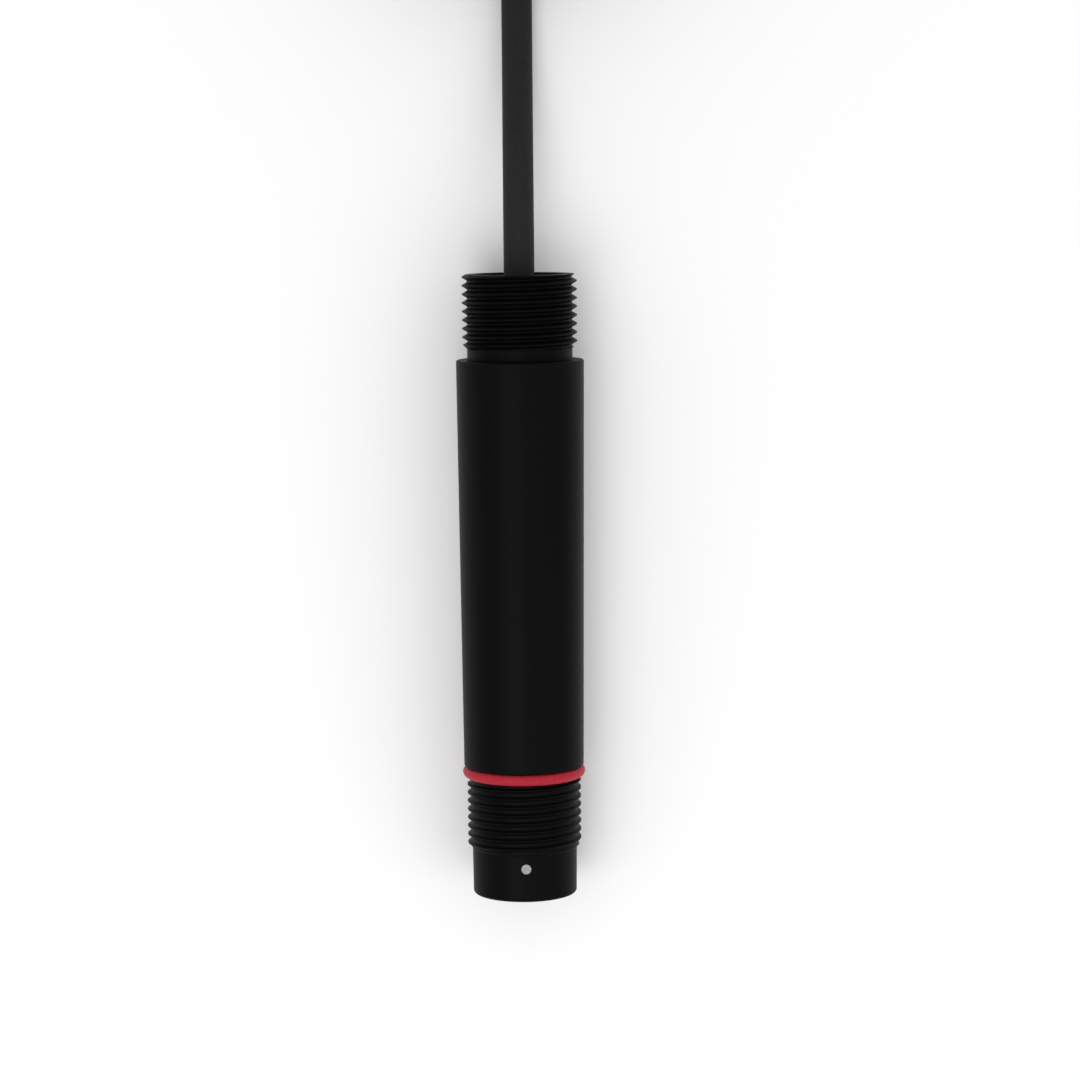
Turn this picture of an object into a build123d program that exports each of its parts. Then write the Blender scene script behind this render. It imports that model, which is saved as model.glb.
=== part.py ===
from build123d import *
import math
import os

os.makedirs("parts", exist_ok=True)

# Combination pH electrode for a pipe or tank, with its cable. It lies on its side:
# +Z up, the tip towards -Y, the cable towards +Y. Millimetres.

# Outside of the moulded body, from the tip upwards
thread_diameter = 27.0  # crests of both threads
tip_length = 11.1
tip_end_diameter = 24.6
tip_top_diameter = 24.8
tip_edge_round = 0.8
lower_thread_length = 16.7
ring_land_length = 2.9  # groove between the lower thread and the shoulder
barrel_length = 96.4
barrel_lower_diameter = 28.4
barrel_upper_diameter = 30.0
shoulder_round = 0.5
upper_neck_length = 2.6
upper_neck_diameter = 24.7
upper_thread_length = 17.4
thread_lead = 1.1  # chamfer at the free end of each thread
mouth_chamfer = 0.4

# Inside of the moulded body
chamber_diameter = 19.0
guard_diameter = 19.0  # recess round the glass membrane
guard_depth = 5.0
bulkhead_thickness = 1.6
potting_diameter = 20.4
potting_depth = 20.5
potting_recess = 0.5

# Sealing ring under the shoulder
ring_cord = 2.65
ring_inner_diameter = 23.7

# Porous junction in the side of the tip
junction_diameter = 2.3
junction_height = 8.0  # above the end face
junction_turn = 1.6  # degrees round the body from the top

# Glass stem with its membrane, and what fills it
stem_diameter = 8.0
stem_wall = 0.8
membrane_wall = 0.4
membrane_setback = 0.8
stem_length = 104.0
stem_clearance = 0.1  # round the stem in its plug and bulkhead
stem_seal_diameter = 15.0
stem_seal_height = 4.0
stopper_depth = 6.0
stopper_flange = 1.5
electrode_wire = 0.8
electrode_start = 9.0  # lower end of the wire above the end face

# Reference side, between the stem and the chamber wall
reference_tube_diameter = 13.2
reference_tube_wall = 0.8
reference_tube_start = 22.0
inner_junction_height = 4.0
reference_wire_diameter = 0.6
reference_wire_place = 5.05  # from the axis
reference_wire_start = 34.0
plug_start = 90.0
plug_height = 8.0
plug_clearance = 0.1
plug_socket = 2.0  # how deep the reference tube sits in the plug
probe_diameter = 1.8
probe_place = 7.75
probe_start = 14.0
probe_above_plug = 4.0
probe_lead = 0.5
probe_lead_gap = 1.0

# Joints between the wires and the cable's cores
core_diameter = 1.4
core_circle = 3.4
sleeve_diameter = 2.0
sleeve_length = 7.0
sleeve_to_potting = 4.0
gather_length = 7.0  # where the wires run together below the sleeves
wire_bend = 2.0

# Cable, clamp and hank
cable_diameter = 7.2
cable_in_potting = 18.0
clamp_wall = 0.9
clamp_length = 6.0
clamp_place = 5.0  # above the cable's inner end
straight_out = 16.0
landing = 33.0  # along the floor while the cable comes down
hank_start = 142.0  # +Y edge of what is laid out straight
hank_columns = 2
hank_layers = 4
loop_radius = 21.6  # inner turn, to the middle of the cable
waist_radius = 28.8
waist_straight = 31.0
hump_length = 20.0  # of the near loop, where it lies over the incoming cable
hank_round = 3.4
tie_width = 12.0
tie_thickness = 1.0
tie_flap = 14.0

# Bare end of the cable, on the top turns
boot_diameter = 7.8
boot_angle = 50.0  # of the top turn's far loop
lead_diameter = 1.6
lead_spacing = 1.9
lead_height = 2.6  # above the boot's lowest line
lead_inset = 0.8  # of the row of leads, towards the loop's middle
lead_angle = 62.0
ferrule_diameter = 1.8
ferrule_length = 7.0
end_clearance = 0.2  # between the bare end and the turns beside and below it

# Places that follow from the sizes
thread_low = tip_length
ring_low = thread_low + lower_thread_length
shoulder_low = ring_low + ring_land_length
shoulder_high = shoulder_low + barrel_length
neck_high = shoulder_high + upper_neck_length
body_length = neck_high + upper_thread_length
axis_height = max(barrel_upper_diameter, barrel_lower_diameter) / 2
tip_face = -body_length / 2
chamber_low = guard_depth + bulkhead_thickness
potting_low = body_length - potting_depth
stem_top = membrane_setback + stem_length
plug_top = plug_start + plug_height
stem_radius = stem_diameter / 2
stem_bore = stem_radius - stem_wall
cable_radius = cable_diameter / 2
cable_low = body_length - cable_in_potting
sleeve_high = potting_low - sleeve_to_potting
sleeve_low = sleeve_high - sleeve_length
gather_low = sleeve_low - gather_length
core_places = [(core_circle / 2, 45 + 90 * k) for k in range(4)]

lengthwise = Plane(origin=(0, tip_face, axis_height), x_dir=(0, 1, 0), z_dir=(1, 0, 0))
long_axis = Axis((0, 0, axis_height), (0, 1, 0))


def across(station):
    """Plane square to the body at a distance from the end face, its normal up the body."""
    return Plane(
        origin=(0, tip_face + station, axis_height), x_dir=(-1, 0, 0), z_dir=(0, 1, 0)
    )


def spot(station, radius, degrees):
    """Point at a distance from the end face, off the axis by a radius at an angle."""
    turn = math.radians(degrees)
    return across(station).from_local_coords(
        (radius * math.cos(turn), radius * math.sin(turn), 0)
    )


def wire(points, diameter, bend):
    """Round wire along straight runs with rounded corners."""
    with BuildPart() as made:
        with BuildLine() as route:
            FilletPolyline(*points, radius=bend)
        with BuildSketch(Plane(origin=route.line @ 0, z_dir=route.line % 0)):
            Circle(diameter / 2)
        sweep()
    return made.part


# Moulded body: tip, both threads and the tapered barrel in one piece
with BuildPart() as sensor_body:
    with BuildSketch(lengthwise):
        with BuildLine():
            Polyline(
                (0, 0),
                (0, tip_end_diameter / 2),
                (thread_low, tip_top_diameter / 2),
                (thread_low + thread_lead, thread_diameter / 2),
                (ring_low, thread_diameter / 2),
                (ring_low, ring_inner_diameter / 2),
                (shoulder_low, ring_inner_diameter / 2),
                (shoulder_low, barrel_lower_diameter / 2),
                (shoulder_high, barrel_upper_diameter / 2),
                (shoulder_high, upper_neck_diameter / 2),
                (neck_high, upper_neck_diameter / 2),
                (neck_high + thread_lead, thread_diameter / 2),
                (body_length - thread_lead, thread_diameter / 2),
                (body_length, thread_diameter / 2 - thread_lead),
                (body_length, 0),
                close=True,
            )
        make_face()
    revolve(axis=long_axis)
    rims = sensor_body.edges().filter_by(GeomType.CIRCLE)
    fillet(rims.group_by(Axis.Y)[0], tip_edge_round)
    fillet(
        rims.filter_by(lambda e: abs(e.radius - barrel_lower_diameter / 2) < 1e-3)
        + rims.filter_by(lambda e: abs(e.radius - barrel_upper_diameter / 2) < 1e-3),
        shoulder_round,
    )
    with BuildSketch(across(0)):
        Circle(guard_diameter / 2)
    extrude(amount=guard_depth, mode=Mode.SUBTRACT)
    with BuildSketch(across(guard_depth)):
        Circle(stem_radius + stem_clearance)
    extrude(amount=bulkhead_thickness, mode=Mode.SUBTRACT)
    with BuildSketch(across(chamber_low)):
        Circle(chamber_diameter / 2)
    extrude(amount=body_length - chamber_low, mode=Mode.SUBTRACT)
    with BuildSketch(across(potting_low)):
        Circle(potting_diameter / 2)
    extrude(amount=potting_depth, mode=Mode.SUBTRACT)
    mouth = sensor_body.edges().filter_by(GeomType.CIRCLE).group_by(Axis.Y)[-1]
    chamfer(mouth.sort_by(SortBy.RADIUS)[0], mouth_chamfer)
    mouth = sensor_body.edges().filter_by(GeomType.CIRCLE).group_by(Axis.Y)[0]
    chamfer(mouth.sort_by(SortBy.RADIUS)[0], mouth_chamfer)
    turn = math.radians(junction_turn)
    outward = Plane(
        origin=(0, tip_face + junction_height, axis_height),
        x_dir=(0, 1, 0),
        z_dir=(math.sin(turn), 0, math.cos(turn)),
    )
    with BuildSketch(outward.offset(stem_radius)):
        Circle(junction_diameter / 2)
    extrude(amount=tip_top_diameter / 2, mode=Mode.SUBTRACT)
sensor_body.part.label = "sensor_body"
export_step(sensor_body.part, "parts/sensor_body.step")

# Round sealing ring, seated in its groove against the shoulder
with BuildPart() as seal_ring:
    with BuildSketch(lengthwise):
        with Locations((shoulder_low - ring_cord / 2, ring_inner_diameter / 2 + ring_cord / 2)):
            Circle(ring_cord / 2)
    revolve(axis=long_axis)
seal_ring.part.label = "seal_ring"
export_step(seal_ring.part, "parts/seal_ring.step")

# Porous rod through the wall of the tip, flush outside and open to the chamber inside
with BuildPart() as junction_plug:
    with BuildSketch(outward):
        Circle(junction_diameter / 2)
    extrude(amount=tip_top_diameter)
    with BuildSketch(lengthwise):
        with BuildLine():
            Polyline(
                (0, chamber_diameter / 2),
                (0, tip_end_diameter / 2),
                (thread_low, tip_top_diameter / 2),
                (thread_low, chamber_diameter / 2),
                close=True,
            )
        make_face()
    revolve(axis=long_axis, mode=Mode.INTERSECT)
junction_plug.part.label = "junction_plug"
export_step(junction_plug.part, "parts/junction_plug.step")

# Glass stem, closed below by the round membrane
with BuildPart() as glass_stem:
    centre = membrane_setback + stem_radius
    with BuildSketch(lengthwise):
        with BuildLine():
            CenterArc((centre, 0), stem_radius, 90, 90)
            Polyline((centre, stem_radius), (stem_top, stem_radius), (stem_top, stem_bore))
            Line((stem_top, stem_bore), (centre, stem_bore))
            EllipticalCenterArc(
                (centre, 0), stem_radius - membrane_wall, stem_bore, start_angle=90, arc_size=90
            )
            Line((membrane_setback + membrane_wall, 0), (membrane_setback, 0))
        make_face()
    revolve(axis=long_axis)
glass_stem.part.label = "glass_stem"
export_step(glass_stem.part, "parts/glass_stem.step")

# Soft collar that seals the stem against the bulkhead
with BuildPart() as stem_seal:
    with BuildSketch(across(chamber_low)):
        Circle(stem_seal_diameter / 2)
        Circle(stem_radius, mode=Mode.SUBTRACT)
    extrude(amount=stem_seal_height)
stem_seal.part.label = "stem_seal"
export_step(stem_seal.part, "parts/stem_seal.step")

# Stopper in the top of the stem, with the wire through it
with BuildPart() as stem_stopper:
    with BuildSketch(across(stem_top - stopper_depth)):
        Circle(stem_bore)
    extrude(amount=stopper_depth)
    with BuildSketch(across(stem_top)):
        Circle(stem_radius)
    extrude(amount=stopper_flange)
    with BuildSketch(across(stem_top - stopper_depth)):
        Circle(electrode_wire / 2)
    extrude(amount=stopper_depth + stopper_flange, mode=Mode.SUBTRACT)
stem_stopper.part.label = "stem_stopper"
export_step(stem_stopper.part, "parts/stem_stopper.step")

# Where each wire ends, half way up its crimp sleeve
wire_end = (sleeve_low + sleeve_high) / 2

# Silver wire of the measuring side, up the axis and into the first sleeve
inner_electrode = wire(
    [
        spot(electrode_start, 0, 0),
        spot(gather_low, 0, 0),
        spot(sleeve_low, *core_places[0]),
        spot(wire_end, *core_places[0]),
    ],
    electrode_wire,
    wire_bend,
)
inner_electrode.label = "inner_electrode"
export_step(inner_electrode, "parts/inner_electrode.step")

# Silver wire of the reference side, beside the stem
reference_turn = core_places[3][1]
reference_wire = wire(
    [
        spot(reference_wire_start, reference_wire_place, reference_turn),
        spot(gather_low, reference_wire_place, reference_turn),
        spot(sleeve_low, *core_places[3]),
        spot(wire_end, *core_places[3]),
    ],
    reference_wire_diameter,
    wire_bend,
)
reference_wire.label = "reference_wire"
export_step(reference_wire, "parts/reference_wire.step")

# Inner reference chamber: a tube round the stem, its foot closed by a porous ring
with BuildPart() as reference_tube:
    with BuildSketch(across(reference_tube_start)):
        Circle(reference_tube_diameter / 2)
        Circle(reference_tube_diameter / 2 - reference_tube_wall, mode=Mode.SUBTRACT)
    extrude(amount=plug_start + plug_socket - reference_tube_start)
reference_tube.part.label = "reference_tube"
export_step(reference_tube.part, "parts/reference_tube.step")

with BuildPart() as inner_junction:
    with BuildSketch(across(reference_tube_start)):
        Circle(reference_tube_diameter / 2 - reference_tube_wall)
        Circle(stem_radius, mode=Mode.SUBTRACT)
    extrude(amount=inner_junction_height)
inner_junction.part.label = "inner_junction"
export_step(inner_junction.part, "parts/inner_junction.step")

# Closed capillary with the temperature element at its foot
probe_turn = 180
with BuildPart() as temperature_probe:
    foot = spot(probe_start, probe_place, probe_turn)
    with BuildSketch(Plane(origin=foot, x_dir=(-1, 0, 0), z_dir=(0, 1, 0))):
        Circle(probe_diameter / 2)
    extrude(amount=plug_top + probe_above_plug - probe_start)
    fillet(
        temperature_probe.edges().group_by(Axis.Y)[0], 0.9 * probe_diameter / 2
    )
temperature_probe.part.label = "temperature_probe"
export_step(temperature_probe.part, "parts/temperature_probe.step")

# Its two leads, from the capillary's top into their sleeves
lead_turn = math.degrees(probe_lead_gap / 2 / probe_place)
temperature_leads = Compound(
    children=[
        wire(
            [
                spot(plug_top + probe_above_plug, probe_place, probe_turn + side * lead_turn),
                spot(gather_low, probe_place, probe_turn + side * lead_turn),
                spot(sleeve_low, *place),
                spot(wire_end, *place),
            ],
            probe_lead,
            wire_bend,
        )
        for side, place in ((-1, core_places[1]), (1, core_places[2]))
    ]
)
temperature_leads.label = "temperature_leads"
export_step(temperature_leads, "parts/temperature_leads.step")

# Plug that closes the chambers and carries the stem, the tube and the probe
with BuildPart() as chamber_plug:
    with BuildSketch(across(plug_start)):
        Circle(chamber_diameter / 2 - plug_clearance)
        Circle(stem_radius + stem_clearance, mode=Mode.SUBTRACT)
        with PolarLocations(reference_wire_place, 1, start_angle=reference_turn):
            Circle(reference_wire_diameter / 2 + stem_clearance, mode=Mode.SUBTRACT)
        with PolarLocations(probe_place, 1, start_angle=probe_turn):
            Circle(probe_diameter / 2 + stem_clearance, mode=Mode.SUBTRACT)
    extrude(amount=plug_height)
    with BuildSketch(across(plug_start)):
        Circle(reference_tube_diameter / 2)
        Circle(reference_tube_diameter / 2 - reference_tube_wall, mode=Mode.SUBTRACT)
    extrude(amount=plug_socket, mode=Mode.SUBTRACT)
chamber_plug.part.label = "chamber_plug"
export_step(chamber_plug.part, "parts/chamber_plug.step")

# Crimp sleeves, each on one core of the cable above and one wire below
with BuildPart() as crimp_sleeves:
    with BuildSketch(across(sleeve_low)):
        with PolarLocations(core_circle / 2, len(core_places), start_angle=core_places[0][1]):
            Circle(sleeve_diameter / 2)
            Circle(core_diameter / 2, mode=Mode.SUBTRACT)
    extrude(amount=sleeve_length)
crimp_sleeves.part.label = "crimp_sleeves"
export_step(crimp_sleeves.part, "parts/crimp_sleeves.step")

# Insulated cores between the sleeves and the cut end of the cable's jacket
with BuildPart() as cable_cores:
    with BuildSketch(across(wire_end)):
        with PolarLocations(core_circle / 2, len(core_places), start_angle=core_places[0][1]):
            Circle(core_diameter / 2)
    extrude(amount=cable_low - wire_end)
cable_cores.part.label = "cable_cores"
export_step(cable_cores.part, "parts/cable_cores.step")

# Sleeve crimped on the cable, which keeps it from pulling out of the resin
with BuildPart() as cable_clamp:
    with BuildSketch(across(cable_low + clamp_place)):
        Circle(cable_radius + clamp_wall)
        Circle(cable_radius, mode=Mode.SUBTRACT)
    extrude(amount=clamp_length)
cable_clamp.part.label = "cable_clamp"
export_step(cable_clamp.part, "parts/cable_clamp.step")

# Casting resin round the cable in the body's mouth
with BuildPart() as potting:
    with BuildSketch(across(potting_low)):
        Circle(potting_diameter / 2)
    extrude(amount=potting_depth - potting_recess)
    with BuildSketch(across(cable_low)):
        Circle(cable_radius)
    extrude(amount=cable_in_potting, mode=Mode.SUBTRACT)
    with BuildSketch(across(cable_low + clamp_place)):
        Circle(cable_radius + clamp_wall)
    extrude(amount=clamp_length, mode=Mode.SUBTRACT)
    with BuildSketch(across(potting_low)):
        with PolarLocations(core_circle / 2, len(core_places), start_angle=core_places[0][1]):
            Circle(core_diameter / 2)
    extrude(amount=cable_low - potting_low, mode=Mode.SUBTRACT)
potting.part.label = "potting"
export_step(potting.part, "parts/potting.step")

# Cable where it is laid out: straight out of the body and down to the floor
body_top = tip_face + body_length
cable_points = [
    (0, tip_face + cable_low, axis_height),
    (0, body_top + straight_out, axis_height),
    (0, body_top + straight_out + landing, cable_radius),
    (0, hank_start, cable_radius),
]
runs = [math.dist(a, b) for a, b in zip(cable_points, cable_points[1:])]
turns = [
    (Vector(*c) - Vector(*b)).get_angle(Vector(*b) - Vector(*a))
    for a, b, c in zip(cable_points, cable_points[1:], cable_points[2:])
]
arcs = [
    0.45 * min(before, after) / math.tan(math.radians(turn / 2))
    for before, after, turn in zip(runs, runs[1:], turns)
]
with BuildPart() as cable_run:
    with BuildLine() as route:
        FilletPolyline(*cable_points, radius=arcs)
    with BuildSketch(Plane(origin=route.line @ 0, z_dir=route.line % 0)):
        Circle(cable_radius)
    sweep()
cable_run.part.label = "cable_run"
export_step(cable_run.part, "parts/cable_run.step")
section = math.pi * cable_radius**2
print("cable arc radii", [round(a, 1) for a in arcs])
by_length = section * sum(edge.length for edge in route.edges())
print("cable volume, and section by length", round(cable_run.part.volume, 1), round(by_length, 1))

# Cable put away: a tied hank with a loop at each end and a narrow waist
turns_out = (hank_columns - 0.5) * cable_diameter  # from the inner turn to the hank's edge
edge_loop = loop_radius + turns_out
edge_waist = waist_radius - turns_out
waist_side = cable_radius + waist_radius
waist_half = cable_radius + turns_out
loop_rise = math.sqrt((loop_radius + waist_radius) ** 2 - waist_side**2)
loop_centre = waist_straight / 2 + loop_rise
meeting = math.degrees(math.atan2(loop_rise, waist_side))
hank_middle = hank_start + loop_centre + edge_loop
layers_high = hank_layers * cable_diameter
hank_top = tie_thickness + layers_high
hank_plane = Plane(origin=(0, hank_middle, tie_thickness))
far_middle = hank_middle + loop_centre
far_axis = Axis((0, far_middle, 0), (0, 0, 1))
end_radius = loop_radius + cable_radius - end_clearance - boot_diameter / 2
end_floor = hank_top - cable_diameter + end_clearance
leads_end = boot_angle + lead_angle
end_angle = leads_end + math.degrees(1.2 * ferrule_length / end_radius)
lead_names = ["lead_measuring", "lead_reference", "lead_temperature_a", "lead_temperature_b"]
lead_circles = [
    end_radius - lead_inset + (k - (len(lead_names) - 1) / 2) * lead_spacing
    for k in range(len(lead_names))
]
end_inside = min(end_radius - boot_diameter / 2, lead_circles[0] - ferrule_diameter / 2)
end_outside = end_radius + boot_diameter / 2


def end_section(degrees):
    """Upright plane through the far loop's middle, turned from +Y towards -X."""
    turn = math.radians(degrees)
    return Plane(
        origin=(0, far_middle, end_floor),
        x_dir=(-math.sin(turn), math.cos(turn), 0),
        z_dir=(math.cos(turn), math.sin(turn), 0),
    )


with BuildPart() as cable_hank:
    with BuildSketch(hank_plane):
        with BuildLine():
            Line((waist_half, 0), (waist_half, waist_straight / 2))
            CenterArc((waist_side, waist_straight / 2), edge_waist, 180, -meeting)
            CenterArc((0, loop_centre), edge_loop, -meeting, 90 + meeting)
            mirror(about=Plane.YZ)
            mirror(about=Plane.XZ)
        make_face()
    extrude(amount=layers_high + cable_diameter)
    # The near loop lies over the cable that comes in below it, so it is one turn higher
    with BuildSketch(Plane.YZ):
        with BuildLine():
            Polyline(
                (hank_start, 0),
                (hank_start, hank_top + cable_diameter),
                (hank_start + hump_length, hank_top + cable_diameter),
                (hank_start + 2 * hump_length, hank_top),
                (far_middle + edge_loop, hank_top),
                (far_middle + edge_loop, 0),
                close=True,
            )
        make_face()
    extrude(amount=edge_loop, both=True, mode=Mode.INTERSECT)
    fillet(cable_hank.edges().filter_by(Axis.Z, reverse=True), hank_round)
    # Place on the top turns of the far loop for the cable's bare end
    with BuildSketch(end_section(0)):
        with Locations(((end_inside + end_outside) / 2, boot_diameter / 2)):
            Rectangle(
                end_outside - end_inside + 2 * end_clearance,
                boot_diameter + 2 * end_clearance,
            )
    revolve(axis=far_axis, revolution_arc=end_angle, mode=Mode.SUBTRACT)
cable_hank.part.label = "cable_hank"
export_step(cable_hank.part, "parts/cable_hank.step")
print("hank from", hank_start, "to", round(far_middle + edge_loop, 1), "wide", 2 * edge_loop)

# Strap round the hank's waist, its free end pressed down on top
with BuildPart() as hank_tie:
    with BuildSketch(Plane.XZ.offset(-hank_middle)):
        with Locations((0, hank_top / 2 + tie_thickness / 2)):
            RectangleRounded(
                2 * (waist_half + tie_thickness),
                layers_high + 2 * tie_thickness,
                hank_round + tie_thickness,
            )
            RectangleRounded(2 * waist_half, layers_high, hank_round, mode=Mode.SUBTRACT)
        with Locations((0, hank_top + 1.5 * tie_thickness)):
            Rectangle(tie_flap, tie_thickness)
    extrude(amount=tie_width / 2, both=True)
hank_tie.part.label = "hank_tie"
export_step(hank_tie.part, "parts/hank_tie.step")

# Bare end: a shrunk sleeve over the jacket's cut, then the leads, each with its ferrule
with BuildPart() as end_boot:
    with BuildSketch(end_section(0)):
        with Locations((end_radius, boot_diameter / 2)):
            Circle(boot_diameter / 2)
    revolve(axis=far_axis, revolution_arc=boot_angle)
end_boot.part.label = "end_boot"
export_step(end_boot.part, "parts/end_boot.step")

for name, circle in zip(lead_names, lead_circles):
    with BuildPart() as lead:
        with BuildSketch(end_section(boot_angle)):
            with Locations((circle, lead_height)):
                Circle(lead_diameter / 2)
        revolve(axis=far_axis, revolution_arc=lead_angle)
    lead.part.label = name
    export_step(lead.part, f"parts/{name}.step")

with BuildPart() as end_ferrules:
    for circle in lead_circles:
        with BuildSketch(end_section(leads_end)):
            with Locations((circle, lead_height)):
                Circle(ferrule_diameter / 2)
        extrude(amount=-ferrule_length)
end_ferrules.part.label = "end_ferrules"
export_step(end_ferrules.part, "parts/end_ferrules.step")
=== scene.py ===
import logging
import math
from dataclasses import dataclass
from enum import Enum
from typing import Optional, Sequence

import bmesh
import bpy
import numpy as np
from mathutils import Matrix, Vector


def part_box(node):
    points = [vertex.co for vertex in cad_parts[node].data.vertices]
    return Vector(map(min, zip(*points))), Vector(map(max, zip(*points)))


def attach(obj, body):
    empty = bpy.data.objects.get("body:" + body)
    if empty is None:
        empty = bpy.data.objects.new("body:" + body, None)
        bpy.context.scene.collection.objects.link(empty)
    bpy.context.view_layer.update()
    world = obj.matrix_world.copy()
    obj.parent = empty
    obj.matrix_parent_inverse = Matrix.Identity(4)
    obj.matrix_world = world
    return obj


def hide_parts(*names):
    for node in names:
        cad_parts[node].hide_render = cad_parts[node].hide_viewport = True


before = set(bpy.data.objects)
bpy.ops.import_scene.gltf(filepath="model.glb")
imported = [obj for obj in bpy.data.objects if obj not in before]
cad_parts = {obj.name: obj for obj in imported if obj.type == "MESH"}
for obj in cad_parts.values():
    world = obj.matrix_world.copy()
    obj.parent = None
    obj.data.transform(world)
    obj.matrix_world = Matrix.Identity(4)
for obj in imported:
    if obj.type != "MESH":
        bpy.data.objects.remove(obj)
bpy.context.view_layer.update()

log = logging.getLogger("ph_electrode")

MM = 0.001
BODY = "root"
TIP_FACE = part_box("sensor_body")[0].y / MM
AXIS_HEIGHT = 15.0
CABLE_DIAMETER = 7.2
TIE_THICKNESS = 1.0
HANK_START = 142.0
# Sockets of Blender's mix node for colours, which share their names with those for numbers
MIX_FACTOR, MIX_FIRST, MIX_SECOND, MIX_RESULT = 0, 6, 7, 2
# Drawn surfaces have their grain stretched along Y, to this share of its rate across
DRAWN_RATE = 0.08


def linear(colour: str) -> tuple[float, float, float, float]:
    """Turns an sRGB hex colour to linear light.

    Args:
        colour: six hex digits after a hash.

    Returns:
        Red, green, blue and a full alpha.
    """
    parts = [int(colour[k : k + 2], 16) / 255 for k in (1, 3, 5)]
    light = [p / 12.92 if p <= 0.04045 else ((p + 0.055) / 1.055) ** 2.4 for p in parts]
    return (*light, 1.0)


def add_node(
    tree: bpy.types.NodeTree,
    kind: str,
    settings: Optional[dict] = None,
    values: Optional[dict] = None,
    links: Optional[dict] = None,
) -> bpy.types.Node:
    """Adds one node with its settings, socket values and incoming links.

    Args:
        tree: the node tree.
        kind: the node's type name.
        settings: properties of the node.
        values: constant values by input socket.
        links: (node, output socket) by input socket.

    Returns:
        The new node.
    """
    node = tree.nodes.new(kind)
    for key, value in (settings or {}).items():
        setattr(node, key, value)
    for key, value in (values or {}).items():
        node.inputs[key].default_value = value
    for key, (source, output) in (links or {}).items():
        tree.links.new(source.outputs[output], node.inputs[key])
    return node


class Pattern(Enum):
    """What the colour and relief of a finish follow."""

    GRAIN = "grain"
    WEAVE = "weave"
    PORES = "pores"
    DRAWN = "drawn"


@dataclass(frozen=True)
class Finish:
    """One real material and how its surface was made.

    The colour wanders between two tones, the roughness by a spread round its middle, and the
    relief is a bump of a real depth. Sizes are in millimetres.
    """

    name: str
    colour: str
    second: str
    roughness: float
    spread: float = 0.05
    ior: float = 1.5
    specular: float = 0.5
    metallic: float = 0.0
    transmission: float = 0.0
    coat: float = 0.0
    sheen: float = 0.0
    grain: float = 0.5
    relief: float = 0.01
    pattern: Pattern = Pattern.GRAIN

    def build(self) -> bpy.types.Material:
        """Makes the node material.

        Returns:
            The material, ready to be assigned.
        """
        material = bpy.data.materials.new(self.name)
        material.use_nodes = True
        tree = material.node_tree
        tree.nodes.clear()
        height = self.height(tree)
        tone = add_node(
            tree,
            "ShaderNodeMix",
            {"data_type": "RGBA"},
            {MIX_FIRST: linear(self.colour), MIX_SECOND: linear(self.second)},
            {MIX_FACTOR: (height, 0)},
        )
        rough = add_node(
            tree,
            "ShaderNodeMapRange",
            None,
            {
                "To Min": max(self.roughness - self.spread, 0.0),
                "To Max": min(self.roughness + self.spread, 1.0),
            },
            {"Value": (height, 0)},
        )
        bump = add_node(
            tree,
            "ShaderNodeBump",
            None,
            {"Strength": 1.0, "Distance": self.relief * MM},
            {"Height": (height, 0)},
        )
        shader = add_node(
            tree,
            "ShaderNodeBsdfPrincipled",
            None,
            {
                "Metallic": self.metallic,
                "Transmission Weight": self.transmission,
                "Coat Weight": self.coat,
                "Sheen Weight": self.sheen,
                "Specular IOR Level": self.specular,
            },
            {"Base Color": (tone, MIX_RESULT), "Roughness": (rough, 0), "Normal": (bump, 0)},
        )
        if not self.metallic:
            shader.inputs["IOR"].default_value = self.ior
        add_node(tree, "ShaderNodeOutputMaterial", None, None, {"Surface": (shader, 0)})
        return material

    def height(self, tree: bpy.types.NodeTree) -> bpy.types.Node:
        """Adds the pattern's height, from 0 to 1.

        Args:
            tree: the material's node tree.

        Returns:
            A node whose first output is the height.
        """
        place = add_node(tree, "ShaderNodeTexCoord")
        fine = 1 / (self.grain * MM)
        if self.pattern is Pattern.WEAVE:
            bands = [
                add_node(
                    tree,
                    "ShaderNodeTexWave",
                    {"bands_direction": way},
                    {"Scale": math.pi / (10 * self.grain), "Distortion": 0.4, "Detail": 1.0},
                    {"Vector": (place, "UV")},
                )
                for way in ("X", "Y")
            ]
            return add_node(
                tree,
                "ShaderNodeMath",
                {"operation": "MULTIPLY", "use_clamp": True},
                None,
                {0: (bands[0], 1), 1: (bands[1], 1)},
            )
        if self.pattern is Pattern.PORES:
            cells = add_node(
                tree,
                "ShaderNodeTexVoronoi",
                None,
                {"Scale": fine},
                {"Vector": (place, "Object")},
            )
            return add_node(
                tree,
                "ShaderNodeMapRange",
                None,
                {"From Min": 0.0, "From Max": 0.8},
                {"Value": (cells, "Distance")},
            )
        along = 1.0 if self.pattern is Pattern.GRAIN else DRAWN_RATE
        turned_place = add_node(
            tree,
            "ShaderNodeMapping",
            None,
            {"Scale": (1.0, along, 1.0)},
            {"Vector": (place, "Object")},
        )
        noise = add_node(
            tree,
            "ShaderNodeTexNoise",
            None,
            {"Scale": fine, "Detail": 3.0, "Roughness": 0.55},
            {"Vector": (turned_place, 0)},
        )
        return add_node(
            tree,
            "ShaderNodeMapRange",
            None,
            {"From Min": 0.3, "From Max": 0.7},
            {"Value": (noise, 0)},
        )


# Glass-filled polyphenylene sulphide, injection-moulded: deep black with a low, even sheen. The
# real grain of its fibres, 0.05 mm, is drawn at 0.4 mm to show.
MOULDED_PPS = Finish(
    "moulded_polyphenylene_sulphide",
    "#040303",
    "#09070a",
    roughness=0.46,
    spread=0.05,
    ior=1.5,
    specular=0.05,
    grain=0.4,
    relief=0.003,
)
# Silicone rubber, compression-moulded: an even red with a soft, broad highlight.
MOULDED_SILICONE = Finish(
    "moulded_red_silicone",
    "#9e1b2c",
    "#ab2434",
    roughness=0.5,
    ior=1.42,
    specular=0.2,
    grain=0.7,
    relief=0.006,
)
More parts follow.
